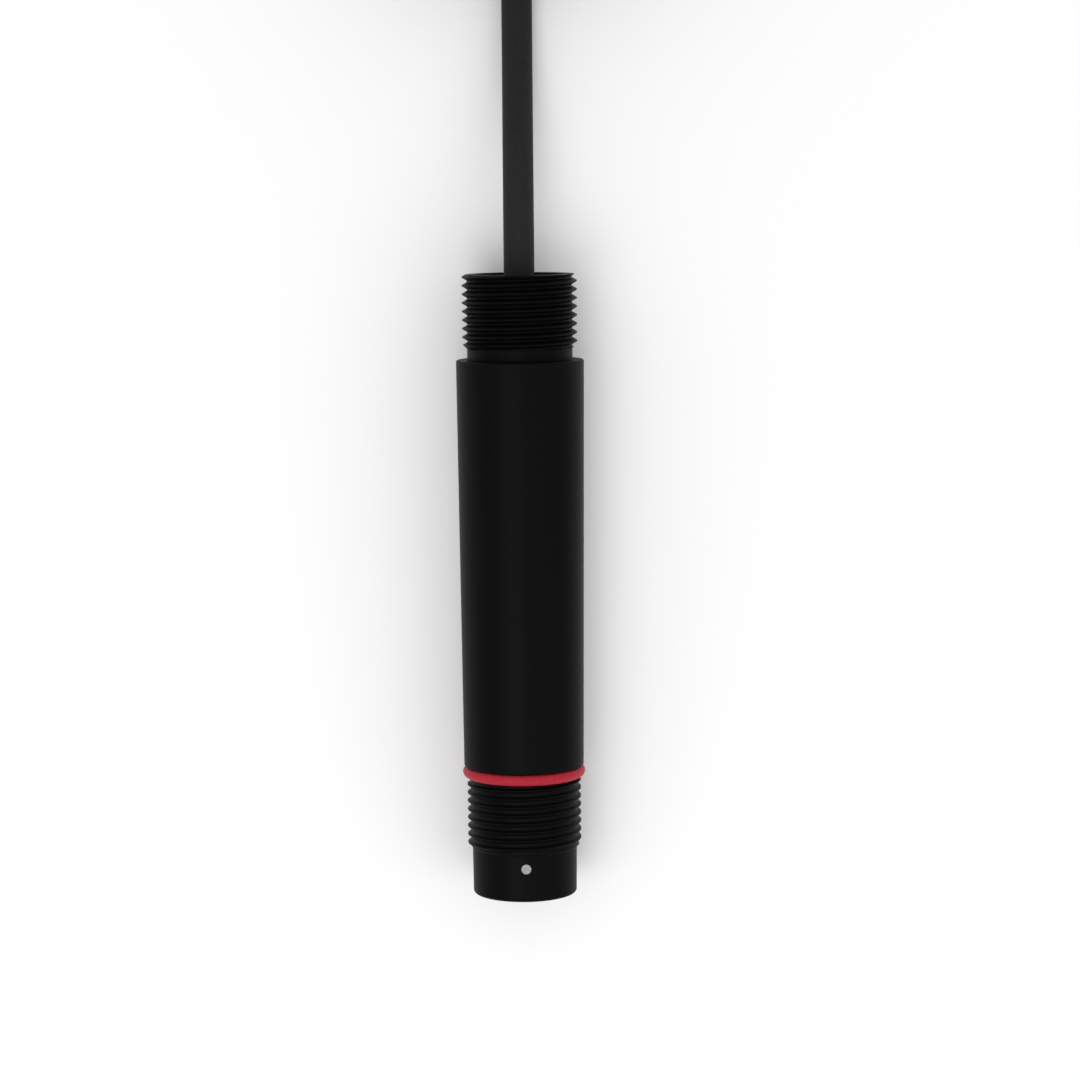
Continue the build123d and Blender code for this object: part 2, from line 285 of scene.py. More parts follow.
# Zirconia ceramic, sintered: off-white and dull, with open pores drawn at 0.25 mm to show.
SINTERED_CERAMIC = Finish(
    "sintered_porous_zirconia",
    "#88858a",
    "#a7a3a6",
    roughness=0.8,
    specular=0.2,
    grain=0.25,
    relief=0.03,
    pattern=Pattern.PORES,
)
# Soda-lime membrane glass, blown and fused: clear, with the faintest green in its wall.
BLOWN_GLASS = Finish(
    "blown_electrode_glass",
    "#eef7f3",
    "#f6fbf8",
    roughness=0.03,
    spread=0.01,
    ior=1.51,
    transmission=1.0,
    grain=6.0,
    relief=0.004,
)
# Thermoplastic polyurethane, extruded: dark grey and dull, with a faint, even grain.
EXTRUDED_JACKET = Finish(
    "extruded_polyurethane_jacket",
    "#1e1e1f",
    "#252526",
    roughness=0.62,
    spread=0.06,
    ior=1.49,
    specular=0.12,
    grain=0.8,
    relief=0.012,
)
# Polyamide hook-and-loop tape, woven: black, fuzzy, its ribs 1.2 mm apart.
WOVEN_TAPE = Finish(
    "woven_polyamide_tape",
    "#08080a",
    "#1b1b1e",
    roughness=0.85,
    specular=0.3,
    sheen=0.35,
    grain=1.2,
    relief=0.12,
    pattern=Pattern.WEAVE,
)
# Polyolefin tube, heat-shrunk: black and slightly glossy, wavy where it drew down.
SHRUNK_SLEEVE = Finish(
    "heat_shrunk_polyolefin",
    "#0b0b0b",
    "#131313",
    roughness=0.35,
    grain=3.0,
    relief=0.05,
)
# Tinned copper, drawn and crimped: pale grey metal with fine lines.
TINNED_COPPER = Finish(
    "tinned_drawn_copper",
    "#b9b8b2",
    "#cfcec9",
    roughness=0.3,
    metallic=1.0,
    grain=0.3,
    relief=0.004,
    pattern=Pattern.DRAWN,
)
# Silver wire with a silver chloride layer, electrolysed: brownish grey, dull.
CHLORIDED_SILVER = Finish(
    "chlorided_silver_wire",
    "#6c6466",
    "#8d8585",
    roughness=0.55,
    metallic=0.7,
    grain=0.3,
    relief=0.006,
)
# Aluminium, drawn and crimped: light grey metal, satin.
CRIMPED_ALUMINIUM = Finish(
    "crimped_aluminium",
    "#c3c4c6",
    "#d2d3d5",
    roughness=0.35,
    metallic=1.0,
    grain=0.4,
    relief=0.004,
    pattern=Pattern.DRAWN,
)
# Epoxy resin, cast: near black, glossy, with the slow waves of a cured surface.
CAST_EPOXY = Finish(
    "cast_epoxy",
    "#0b0b0c",
    "#121213",
    roughness=0.16,
    ior=1.55,
    grain=5.0,
    relief=0.03,
)
# Polypropylene, injection-moulded: milky white, satin.
MOULDED_POLYPROPYLENE = Finish(
    "moulded_polypropylene",
    "#dcdbd4",
    "#e6e5df",
    roughness=0.42,
    ior=1.49,
    grain=0.6,
    relief=0.006,
)
# Silicone rubber, clear grade, moulded: milky and soft.
CLEAR_SILICONE = Finish(
    "moulded_clear_silicone",
    "#cfccc4",
    "#dad7d0",
    roughness=0.4,
    ior=1.42,
    grain=0.8,
    relief=0.006,
)


def insulation(name: str, colour: str, second: str) -> Finish:
    """Names the extruded vinyl insulation of one lead: smooth and slightly glossy."""
    return Finish(name, colour, second, roughness=0.38, ior=1.52, grain=0.5, relief=0.006)


def dress(piece: bpy.types.Object, finish: Finish) -> None:
    """Gives a piece one finish, made once and shared."""
    material = bpy.data.materials.get(finish.name) or finish.build()
    piece.data.materials.clear()
    piece.data.materials.append(material)


def settle(piece: bpy.types.Object, finish: Finish, replaced: Sequence[str]) -> None:
    """Dresses a new piece and ties it to the frame.

    Args:
        piece: the new piece.
        finish: its finish.
        replaced: the CAD nodes that it stands for.
    """
    dress(piece, finish)
    if replaced:
        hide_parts(*replaced)
    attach(piece, BODY)
    log.info("made %s", piece.name)


def surface(
    name: str,
    points: np.ndarray,
    close_along: bool = False,
    close_round: bool = True,
    sharp: float = 40.0,
    spread: Optional[np.ndarray] = None,
) -> bpy.types.Object:
    """Makes a mesh from a grid of points, rows along and columns round.

    Rows that have shrunk to one point close into a pole, and normals are turned outwards.

    Args:
        name: the piece's name.
        points: rows x columns x 3, in millimetres.
        close_along: joins the last row to the first.
        close_round: joins the last column to the first.
        sharp: edges that turn by more than this many degrees are shaded as edges.
        spread: rows x columns x 2, a UV map for patterns that follow the surface.

    Returns:
        The object, at the origin.
    """
    rows, columns = points.shape[:2]
    index = np.arange(rows * columns).reshape(rows, columns)
    along = np.arange(rows if close_along else rows - 1)
    round_ = np.arange(columns if close_round else columns - 1)
    a, b = np.meshgrid(along, round_, indexing="ij")
    c, d = (a + 1) % rows, (b + 1) % columns
    quads = np.stack([index[a, b], index[c, b], index[c, d], index[a, d]], -1).reshape(-1, 4)
    mesh = bpy.data.meshes.new(name)
    mesh.vertices.add(rows * columns)
    mesh.vertices.foreach_set("co", (points * MM).astype(np.float32).ravel())
    mesh.loops.add(quads.size)
    mesh.loops.foreach_set("vertex_index", quads.astype(np.int32).ravel())
    mesh.polygons.add(len(quads))
    mesh.polygons.foreach_set("loop_start", np.arange(0, quads.size, 4, dtype=np.int32))
    mesh.update(calc_edges=True)
    if spread is not None:
        layer = mesh.uv_layers.new(name="along_and_across")
        corners = spread.reshape(-1, 2)[quads.ravel()]
        layer.data.foreach_set("uv", corners.astype(np.float32).ravel())
    piece = bpy.data.objects.new(name, mesh)
    bpy.context.scene.collection.objects.link(piece)
    tidy_mesh(piece, sharp)
    return piece


def tidy_mesh(piece: bpy.types.Object, sharp: float) -> None:
    """Merges doubled points, turns faces outwards and shades the piece smooth between edges.

    Args:
        piece: a mesh object.
        sharp: edges that turn by more than this many degrees stay edges.
    """
    work = bmesh.new()
    work.from_mesh(piece.data)
    bmesh.ops.remove_doubles(work, verts=work.verts, dist=1e-7)
    bmesh.ops.recalc_face_normals(work, faces=work.faces)
    work.to_mesh(piece.data)
    work.free()
    piece.data.polygons.foreach_set("use_smooth", [True] * len(piece.data.polygons))
    piece.data.set_sharp_from_angle(angle=math.radians(sharp))


def smooth_step(value: np.ndarray) -> np.ndarray:
    """Eases from 0 to 1: three times the square less twice the cube, held outside."""
    held = np.clip(value, 0.0, 1.0)
    return held * held * (3 - 2 * held)


def stretch(
    start: tuple[float, float], end: tuple[float, float], rows: int = 2, hold: float = 0.12
) -> np.ndarray:
    """Straight stretch of a section, with a row close to each end that keeps its corners crisp.

    Args:
        start: first point, station and radius.
        end: last point.
        rows: how many points between the two held rows, these included.
        hold: distance of the held rows from the ends.

    Returns:
        Points x 2.
    """
    length = math.dist(start, end)
    inset = min(hold / length, 0.25)
    share = np.concatenate([[0.0], np.linspace(inset, 1 - inset, max(rows, 2)), [1.0]])
    return np.array(start) + share[:, None] * (np.array(end) - np.array(start))


def bend(
    centre: tuple[float, float], radii: tuple[float, float], first: float, last: float, rows: int
) -> np.ndarray:
    """Arc of a section: centre plus radii times cosine and sine, from one angle to another."""
    angle = np.radians(np.linspace(first, last, rows))
    return np.stack(
        [centre[0] + radii[0] * np.cos(angle), centre[1] + radii[1] * np.sin(angle)], -1
    )


def about_axis(stations: np.ndarray, radii: np.ndarray, angles: np.ndarray) -> np.ndarray:
    """Places stations, radii and angles round the body's axis.

    x is minus radius times cosine, y is the station from the tip face, and z is the axis
    height plus radius times sine, so angles run right-handed up the body.

    Args:
        stations: rows x columns, or what broadcasts to it.
        radii: the same.
        angles: the same, in radians.

    Returns:
        Rows x columns x 3, in millimetres.
    """
    stations, radii, angles = np.broadcast_arrays(stations, radii, angles)
    return np.stack(
        [-radii * np.cos(angles), TIP_FACE + stations, AXIS_HEIGHT + radii * np.sin(angles)], -1
    )


def full_circle(columns: int) -> np.ndarray:
    """Angles of one turn, the first not repeated."""
    return np.linspace(0, 2 * math.pi, columns, endpoint=False)


def tube(path: np.ndarray, across: np.ndarray, up: np.ndarray) -> np.ndarray:
    """Carries a section along a path.

    Each ring is the path's point plus the section's first number times the sideways direction
    and its second times up, where sideways is the path's heading crossed with up.

    Args:
        path: rows x 3.
        across: rows x columns x 2, the section at each row.
        up: one direction that the path never points along.

    Returns:
        Rows x columns x 3.
    """
    heading = np.gradient(path, axis=0)
    heading /= np.linalg.norm(heading, axis=1, keepdims=True)
    side = np.cross(heading, up)
    side /= np.linalg.norm(side, axis=1, keepdims=True)
    above = np.cross(side, heading)
    return path[:, None] + across[..., :1] * side[:, None] + across[..., 1:] * above[:, None]


def capped(rings: np.ndarray) -> np.ndarray:
    """Adds a row shrunk to its middle at each end, which closes the ends."""
    first = np.broadcast_to(rings[0].mean(0), rings[0].shape)
    last = np.broadcast_to(rings[-1].mean(0), rings[-1].shape)
    return np.concatenate([first[None], rings, last[None]])


@dataclass
class Studio:
    """Pale floor, soft light and the camera at the photograph's angle, sizes in metres."""

    camera_at: tuple[float, float, float] = (0.0043, 0.099, 0.765)
    tilt: float = 6.7
    roll: float = 0.55
    lens: float = 106.7
    sky: float = 0.76
    backdrop: float = 0.95
    floor_side: float = 6.0
    floor_colour: str = "#f8f8f8"
    lit_place: tuple[float, float, float] = (0.0, 0.02, 0.01)

    def build(self) -> None:
        """Makes the camera, the floor, the world and the lamps."""
        bpy.context.scene.view_settings.view_transform = "Standard"
        self.camera()
        self.floor()
        self.world()
        self.lamp("key", (-0.3, -0.3, 1.1), 0.8, 4.4)
        self.lamp("fill", (0.7, -0.4, 0.9), 0.9, 2.0)
        log.info("made the studio")

    def camera(self) -> None:
        """Sets the camera: it looks down, tilted towards the tip and slightly rolled."""
        tilt, roll = math.radians(self.tilt), math.radians(self.roll)
        right = Vector((1, 0, 0))
        up = Vector((0, math.cos(tilt), -math.sin(tilt)))
        rolled_right = right * math.cos(roll) - up * math.sin(roll)
        rolled_up = up * math.cos(roll) + right * math.sin(roll)
        turn = Matrix((rolled_right, rolled_up, rolled_right.cross(rolled_up))).transposed()
        data = bpy.data.cameras.new("camera")
        data.lens = self.lens
        data.sensor_width = 36.0
        data.clip_start = 0.01
        view = bpy.data.objects.new("camera", data)
        view.matrix_world = Matrix.Translation(self.camera_at) @ turn.to_4x4()
        bpy.context.scene.collection.objects.link(view)
        bpy.context.scene.camera = view

    def floor(self) -> None:
        """Lays one wide pale sheet at height nought."""
        half = self.floor_side / 2
        mesh = bpy.data.meshes.new("floor")
        mesh.from_pydata(
            [(-half, -half, 0), (half, -half, 0), (half, half, 0), (-half, half, 0)],
            [],
            [(0, 1, 2, 3)],
        )
        floor = bpy.data.objects.new("floor", mesh)
        bpy.context.scene.collection.objects.link(floor)
        material = bpy.data.materials.new("matt_white_paper")
        material.use_nodes = True
        shader = material.node_tree.nodes["Principled BSDF"]
        shader.inputs["Base Color"].default_value = linear(self.floor_colour)
        shader.inputs["Roughness"].default_value = 1.0
        shader.inputs["Specular IOR Level"].default_value = 0.0
        mesh.materials.append(material)

    def world(self) -> None:
        """Lights the scene evenly from all round, with a paler backdrop seen past the floor."""
        world = bpy.data.worlds.new("studio")
        world.use_nodes = True
        tree = world.node_tree
        tree.nodes.clear()
        path = add_node(tree, "ShaderNodeLightPath")
        sky = add_node(tree, "ShaderNodeBackground", None, {"Strength": self.sky})
        seen = add_node(tree, "ShaderNodeBackground", None, {"Strength": self.backdrop})
        for back in (sky, seen):
            back.inputs["Color"].default_value = (1.0, 1.0, 1.0, 1.0)
        mix = add_node(
            tree,
            "ShaderNodeMixShader",
            None,
            None,
            {0: (path, "Is Camera Ray"), 1: (sky, 0), 2: (seen, 0)},
        )
        add_node(tree, "ShaderNodeOutputWorld", None, None, {"Surface": (mix, 0)})
        bpy.context.scene.world = world

    def lamp(
        self, name: str, place: tuple[float, float, float], side: float, power: float
    ) -> None:
        """Hangs one soft square lamp that faces the object.

        Args:
            name: the lamp's name.
            place: where it hangs.
            side: its side length.
            power: watts.
        """
        data = bpy.data.lights.new(name, "AREA")
        data.size = side
        data.energy = power
        lamp = bpy.data.objects.new(name, data)
        lamp.location = place
        aim = Vector(self.lit_place) - Vector(place)
        lamp.rotation_euler = aim.to_track_quat("-Z", "Y").to_euler()
        bpy.context.scene.collection.objects.link(lamp)


@dataclass
class Cable:
    """The cable: straight out of the mouth, down to the floor, and put away in a tied hank.

    The hank's turns are closed figures with a loop at each end and a narrow waist. A place on
    a turn is a share from 0 to 1, from the waist's right side round the far loop and back.
    """

    length: float = 3000.0
    inner_end: float = 55.55
    leaves_axis: float = 89.55
    lands: float = 122.55
    loop_radius: float = 21.6
    waist_radius: float = 28.8
    waist_straight: float = 31.0
    layers: int = 4
    shift: float = 0.065
    last_place: float = 7.25
    loop_steps: int = 10
    waist_steps: int = 2
    lift: float = 6.5
    lift_flat: float = 12.0
    lift_end: float = 128.0

    def __post_init__(self) -> None:
        """Works the figure's centres out from its radii."""
        self.side = CABLE_DIAMETER / 2 + self.waist_radius
        self.rise = math.sqrt((self.loop_radius + self.waist_radius) ** 2 - self.side**2)
        self.meeting = math.atan2(self.rise, self.side)
        self.centre = self.waist_straight / 2 + self.rise
        self.edge = self.loop_radius + 1.5 * CABLE_DIAMETER
        self.middle = HANK_START + self.centre + self.edge
        self.far = self.middle + self.centre

    def figure(self, column: float) -> list[tuple[float, float, float]]:
        """Control points of one whole turn, as x, y from the hank's middle and share of turn.

        Each arc's points stand outside it by the share that a quadratic spline cuts inside, and
        two points on each straight side of the waist keep the spline's legs about equal.

        Args:
            column: 0 for the inner turn, 1 for the outer.

        Returns:
            The points in order, from the waist's right side round the far loop.
        """
        loop = self.loop_radius + column * CABLE_DIAMETER
        waist = self.waist_radius - column * CABLE_DIAMETER
        loop_sweep = math.pi + 2 * self.meeting
        arcs = [
            (self.side, self.waist_straight / 2, waist, math.pi, -self.meeting),
            (0.0, self.centre, loop, -self.meeting, loop_sweep),
            (-self.side, self.waist_straight / 2, waist, self.meeting, -self.meeting),
            (-self.side, -self.waist_straight / 2, waist, 0.0, -self.meeting),
            (0.0, -self.centre, loop, math.pi - self.meeting, loop_sweep),
            (self.side, -self.waist_straight / 2, waist, math.pi + self.meeting, -self.meeting),
        ]
        beside = self.side - waist
        quarter = self.waist_straight / 4
        points = [(beside, quarter, quarter)]
        travelled = self.waist_straight / 2
        for number, (x, y, radius, start, sweep) in enumerate(arcs):
            steps = self.loop_steps if number in (1, 4) else self.waist_steps
            step = sweep / steps
            outside = radius / (0.75 + 0.25 * math.cos(step))
            for k in range(steps):
                angle = start + (k + 0.5) * step
                points.append(
                    (
                        x + outside * math.cos(angle),
                        y + outside * math.sin(angle),
                        travelled + radius * abs(step) * (k + 0.5),
                    )
                )
            travelled += radius * abs(sweep)
            if number == 2:
                points.append((-beside, quarter, travelled + quarter))
                points.append((-beside, -quarter, travelled + 3 * quarter))
                travelled += self.waist_straight
        points.append((beside, -quarter, travelled + quarter))
        travelled += self.waist_straight / 2
        return [(x, y, gone / travelled) for x, y, gone in points]

    def turns(self) -> list[tuple[float, float, float]]:
        """Control points of all turns, in millimetres.

        Columns follow in, out, out, in, and each layer lies a diameter above the last. The
        cable moves over a little earlier in each turn than in the one before.

        Returns:
            The points of the hank, from the waist to the last place.
        """
        inner, outer = self.figure(0.0), self.figure(1.0)
        slots = [(k // 2, (k + 1) // 2 % 2) for k in range(2 * self.layers)]
        points = []
        for number in range(math.ceil(self.last_place)):
            for near, wide in zip(inner, outer):
                place = number + near[2]
                if place > self.last_place:
                    break
                layer, column = self.slot_at(place, slots)
                x = near[0] + column * (wide[0] - near[0])
                y = near[1] + column * (wide[1] - near[1])
                z = TIE_THICKNESS + CABLE_DIAMETER * (0.5 + layer)
                if y < 0:
                    aside = math.degrees(math.atan2(abs(x), -y - self.centre))
                    share = (self.lift_end - aside) / (self.lift_end - self.lift_flat)
                    z += self.lift * float(smooth_step(np.array(share)))
                points.append((x, self.middle + y, z))
        return points

    def slot_at(self, place: float, slots: list[tuple[int, int]]) -> tuple[float, float]:
        """Layer and column at a place, eased where the cable moves from one to the next.

        Args:
            place: turns from the start.
            slots: layer and column of each turn in order.

        Returns:
            Layer and column, between whole numbers in a move.
        """
        layer, column = map(float, slots[0])
        for k in range(1, len(slots)):
            moved = float(smooth_step(np.array((place - k * (1 - self.shift)) / self.shift)))
            layer += moved * (slots[k][0] - slots[k - 1][0])
            column += moved * (slots[k][1] - slots[k - 1][1])
        return layer, column

    def route(self) -> list[tuple[float, float, float]]:
        """All control points in millimetres: laid out, under the near loop, then the turns."""
        low = CABLE_DIAMETER / 2
        laid_out = [
            (0.0, self.inner_end, AXIS_HEIGHT),
            (0.0, self.leaves_axis, AXIS_HEIGHT),
            (0.0, self.lands, low),
            (0.0, HANK_START, low),
        ]
        under = [
            (0.2, 160.0, low),
            (1.2, 180.0, low),
            (3.2, 200.0, 4.2),
            (3.6, 220.0, 4.6),
        ]
        ending = [
            (-5.3, self.far + 21.1, 26.7),
            (-9.9, self.far + 18.6, 26.7),
        ]
        return laid_out + under + self.turns() + ending

    def build(self) -> bpy.types.Object:
        """Makes the cable as one open spline with a round bevel.

        Returns:
            The curve object.
        """
        route = self.route()
        curve = bpy.data.curves.new("cable", "CURVE")
        curve.dimensions = "3D"
        spline = curve.splines.new("NURBS")
        spline.points.add(len(route) - 1)
        flat = np.ones((len(route), 4), np.float32)
        flat[:, :3] = np.array(route) * MM
        spline.points.foreach_set("co", flat.ravel())
        spline.order_u = 3
        spline.use_endpoint_u = True
        spline.resolution_u = 4
        curve.bevel_depth = CABLE_DIAMETER / 2 * MM
        curve.bevel_resolution = 5
        curve.use_fill_caps = True
        cable = bpy.data.objects.new("cable", curve)
        bpy.context.scene.collection.objects.link(cable)
        settle(cable, EXTRUDED_JACKET, ["cable_run", "cable_hank"])
        return cable


@dataclass
class HankTie:
    """Hook-and-loop tape round the hank's waist, its free end pressed down on top."""

    middle: float
    width: float = 12.0
    thickness: float = TIE_THICKNESS
    half_width: float = 14.4
    height: float = 28.8
    corner: float = 3.4
    overlap: float = 7.0

    def line(self) -> np.ndarray:
        """Middle line of the tape as x, z: over the top, down the left, under and back over."""
        out = self.half_width + self.thickness / 2
        low, high = self.thickness / 2, self.height + 1.5 * self.thickness
        radius = self.corner + self.thickness / 2
        turned_in = out - radius
        corners = [
            bend((-turned_in, high - radius), (radius, radius), 90, 180, 9),
            bend((-turned_in, low + radius), (radius, radius), 180, 270, 9),
            bend((turned_in, low + radius), (radius, radius), 270, 360, 9),
            bend((turned_in, high - radius), (radius, radius), 0, 90, 9),
        ]
        start = np.stack([np.linspace(self.overlap - 1, 1 - turned_in, 6), np.full(6, high)], -1)
        across_top = np.linspace(turned_in - 0.6, -self.overlap, 14)
        rise = smooth_step((turned_in - across_top) / (turned_in - self.overlap + 0.8))
        end = np.stack([across_top, high + self.thickness * rise], -1)
        return np.concatenate([start, *corners, end])

    def build(self) -> bpy.types.Object:
        """Makes the tape: a flat section with rounded edges carried along its middle line.

        Returns:
            The tape.
        """
        line = self.line()
        path = np.stack([line[:, 0], np.full(len(line), self.middle), line[:, 1]], -1)
        half, thin = self.width / 2, self.thickness / 2 * 0.96
        edge = bend((half - thin, 0), (thin, thin), -90, 90, 5)
        section = np.concatenate([edge, -edge])
        extra = np.linspace(-1, 1, 13)[1:-1, None] * np.array([[half - thin, 0.0]])
        top = np.concatenate([section[:5], extra[::-1] + [0, thin], section[5:], extra - [0, thin]])
        gone = np.concatenate([[0], np.cumsum(np.linalg.norm(np.diff(path, axis=0), axis=1))])
        across = np.broadcast_to(top, (len(path), *top.shape)).copy()
        heading = np.gradient(path, axis=0)
        heading /= np.linalg.norm(heading, axis=1, keepdims=True)
        sideways = np.array([0.0, 1.0, 0.0])
        above = np.cross(heading, sideways)
        rings = path[:, None] + across[..., :1] * sideways + across[..., 1:] * above[:, None]
        rows = capped(rings)
        along = np.concatenate([[gone[0]], gone, [gone[-1]]])
        spread = np.stack(np.broadcast_arrays(along[:, None], top[None, :, 0] + half), -1)
        tape = surface("hank_tape", rows, sharp=60.0, spread=spread)
        settle(tape, WOVEN_TAPE, ["hank_tie"])
        return tape


@dataclass
class BareEnd:
    """Shrunk sleeve, four leads and their ferrules, on the top turn of the far loop."""

    middle: float
    circle: float = 21.1
    floor: float = 22.8
    boot_diameter: float = 7.8
    boot_angle: float = 50.0
    lead_diameter: float = 1.6
    lead_spacing: float = 1.9
    lead_height: float = 2.6
    lead_inset: float = 0.8
    lead_angle: float = 62.0
    ferrule_diameter: float = 1.8
    ferrule_length: float = 7.0

    def lane(self, number: int) -> float:
        """Radius on which one lead lies, counted from the loop's middle."""
        return self.circle - self.lead_inset + (number - 1.5) * self.lead_spacing

    def on_circle(
        self, radius: np.ndarray, degrees: np.ndarray, height: np.ndarray
    ) -> np.ndarray:
        """Points round the far loop's middle, turned from +Y towards -X."""
        turn = np.radians(degrees)
        return np.stack(
            [-radius * np.sin(turn), self.middle + radius * np.cos(turn), height], -1
        )

    def boot(self) -> bpy.types.Object:
        """Makes the shrunk sleeve: a round tube that draws down to the leads at its end."""
        rows = 40
        share = np.linspace(0, 1, rows)
        angle = share * (self.boot_angle + 2)
        path = self.on_circle(
            np.full(rows, self.circle), angle, np.full(rows, self.floor + self.boot_diameter / 2)
        )
        full = self.boot_diameter / 2
        grip = 1 - 0.01 * np.cos(share * 5 * math.pi) * (share < 0.6) * (1 - share)
        narrow = smooth_step((share - 0.62) / 0.34)
        wide = full * (0.985 * grip - 0.06 * narrow)
        tall = full * (0.985 * grip - 0.48 * narrow)
        lip = 1 - 0.06 * np.exp(-((share / 0.015) ** 2))
        round_ = full_circle(40)
        across = np.stack(
            [
                (wide * lip)[:, None] * np.cos(round_),
                (tall * lip)[:, None] * np.sin(round_) - (0.1 * full * narrow)[:, None],
            ],
            -1,
        )
        boot = surface("shrunk_sleeve", capped(tube(path, across, np.array([0, 0, 1.0]))))
        settle(boot, SHRUNK_SLEEVE, ["end_boot"])
        return boot

    def lead(self, number: int, name: str, finish: Finish) -> bpy.types.Object:
        """Makes one lead, from inside the sleeve, fanned out and sagging a little.

        Args:
            number: its place across, from the loop's middle.
            name: the CAD node that it stands for.
            finish: its insulation.

        Returns:
            The lead.
        """
        lane = self.lane(number)
        rows = 48
        share = np.linspace(0, 1, rows)
        start = self.boot_angle - 6
        angle = start + share * (self.boot_angle + self.lead_angle + 3 - start)
        bundle = self.circle + (number - 1.5) * 0.82 * self.lead_spacing
        ease = smooth_step(share / 0.35)
        radius = bundle + ease * (lane - bundle)
        height = self.floor + self.lead_height + 0.9 * (1 - ease)
        height = height - 0.35 * np.sin(math.pi * share) * (1 + 0.4 * math.sin(2.1 * number))
        path = self.on_circle(radius, angle, height)
        round_ = full_circle(20)
        section = self.lead_diameter / 2 * np.stack([np.cos(round_), np.sin(round_)], -1)
        across = np.broadcast_to(section, (rows, 20, 2))
        piece = surface(
            name.replace("lead_", "insulated_"), capped(tube(path, across, np.array([0, 0, 1.0])))
        )
        settle(piece, finish, [name])
        return piece

    def ferrule(self, number: int) -> bpy.types.Object:
        """Makes one crimped ferrule: a thin sleeve with pressed bands, the wire in its end.

        Args:
            number: its place across, from the loop's middle.

        Returns:
            The ferrule.
        """
        end = math.radians(self.boot_angle + self.lead_angle)
        start = self.on_circle(
            np.array(self.lane(number)),
            np.array(self.boot_angle + self.lead_angle),
            np.array(self.floor + self.lead_height),
        )
        heading = np.array([-math.cos(end), -math.sin(end), 0.0])
        rows = 60
        share = np.linspace(0, 1, rows)
        pressed = (share > 0.18) & (share < 0.93)
        ribs = 0.5 - 0.5 * np.cos(2 * math.pi * (share - 0.18) / 0.125)
        radius = self.ferrule_diameter / 2 * (1 - pressed * (0.05 + 0.08 * ribs))
        round_ = full_circle(24)
        flat = 1 - 0.05 * np.cos(4 * round_)[None, :] * pressed[:, None]
        ring = radius[:, None] * flat
        across = np.stack([ring * np.cos(round_), ring * np.sin(round_)], -1)
        path = start + (share * self.ferrule_length)[:, None] * heading
        outer = tube(path, across, np.array([0, 0, 1.0]))
        wire = path[-3] + 0.68 * (outer[-1] - path[-1])
        rings = np.concatenate([outer, wire[None]])
        piece = surface(f"crimped_ferrule_{number + 1}", capped(rings))
        settle(piece, TINNED_COPPER, ["end_ferrules"])
        return piece

    def build(self) -> list[bpy.types.Object]:
        """Makes every piece of the bare end.

        Returns:
            The sleeve, the leads and the ferrules.
        """
        leads = [
            ("lead_measuring", insulation("clear_lead", "#cfd0c8", "#dcddd6"), "clear_insulation"),
            ("lead_reference", insulation("black_lead", "#0c0c0c", "#141414"), "black_insulation"),
            ("lead_temperature_a", insulation("red_lead", "#9e1512", "#b01c18"), "red_insulation"),
            (
                "lead_temperature_b",
                insulation("green_lead", "#175a29", "#1d6a32"),
                "green_insulation",
            ),
        ]
        made = [self.boot()]
        for number, (name, finish, slot) in enumerate(leads):
            made.append(self.lead(number, name, finish))
        made += [self.ferrule(number) for number in range(len(leads))]
        return made


@dataclass
class ScrewThread:
    """One M27x2 thread, right-handed, between two stations of the body."""

    start: float
    end: float
    first_crest: float
    start_radius: float
    end_radius: float
    crest: float = 13.5
    root: float = 12.3
    pitch: float = 2.0
    crest_flat: float = 0.25
    row: float = 0.14

    def stations(self) -> np.ndarray:
        """Rows along the thread."""
        return np.linspace(self.start, self.end, round((self.end - self.start) / self.row))

    def radii(self, angles: np.ndarray) -> np.ndarray:
        """Radius at each row and angle.

        The crest's line moves up by one pitch a turn. From it the flanks fall at 60 degrees
        to each other, down to the root, and a cone of 45 degrees starts each end.

        Args:
            angles: the columns' angles, in radians.

        Returns:
            Rows x columns.
        """
        stations = self.stations()[:, None]
        climbed = stations - self.first_crest - self.pitch * angles[None] / (2 * math.pi)
        away = np.abs((climbed / self.pitch + 0.5) % 1 - 0.5) * self.pitch
        flank = self.crest - math.sqrt(3) * np.maximum(away - self.crest_flat / 2, 0)
        lead_in = self.start_radius + (stations - self.start)
        run_out = self.end_radius + (self.end - stations)
        return np.minimum(np.minimum(np.clip(flank, self.root, self.crest), lead_in), run_out)


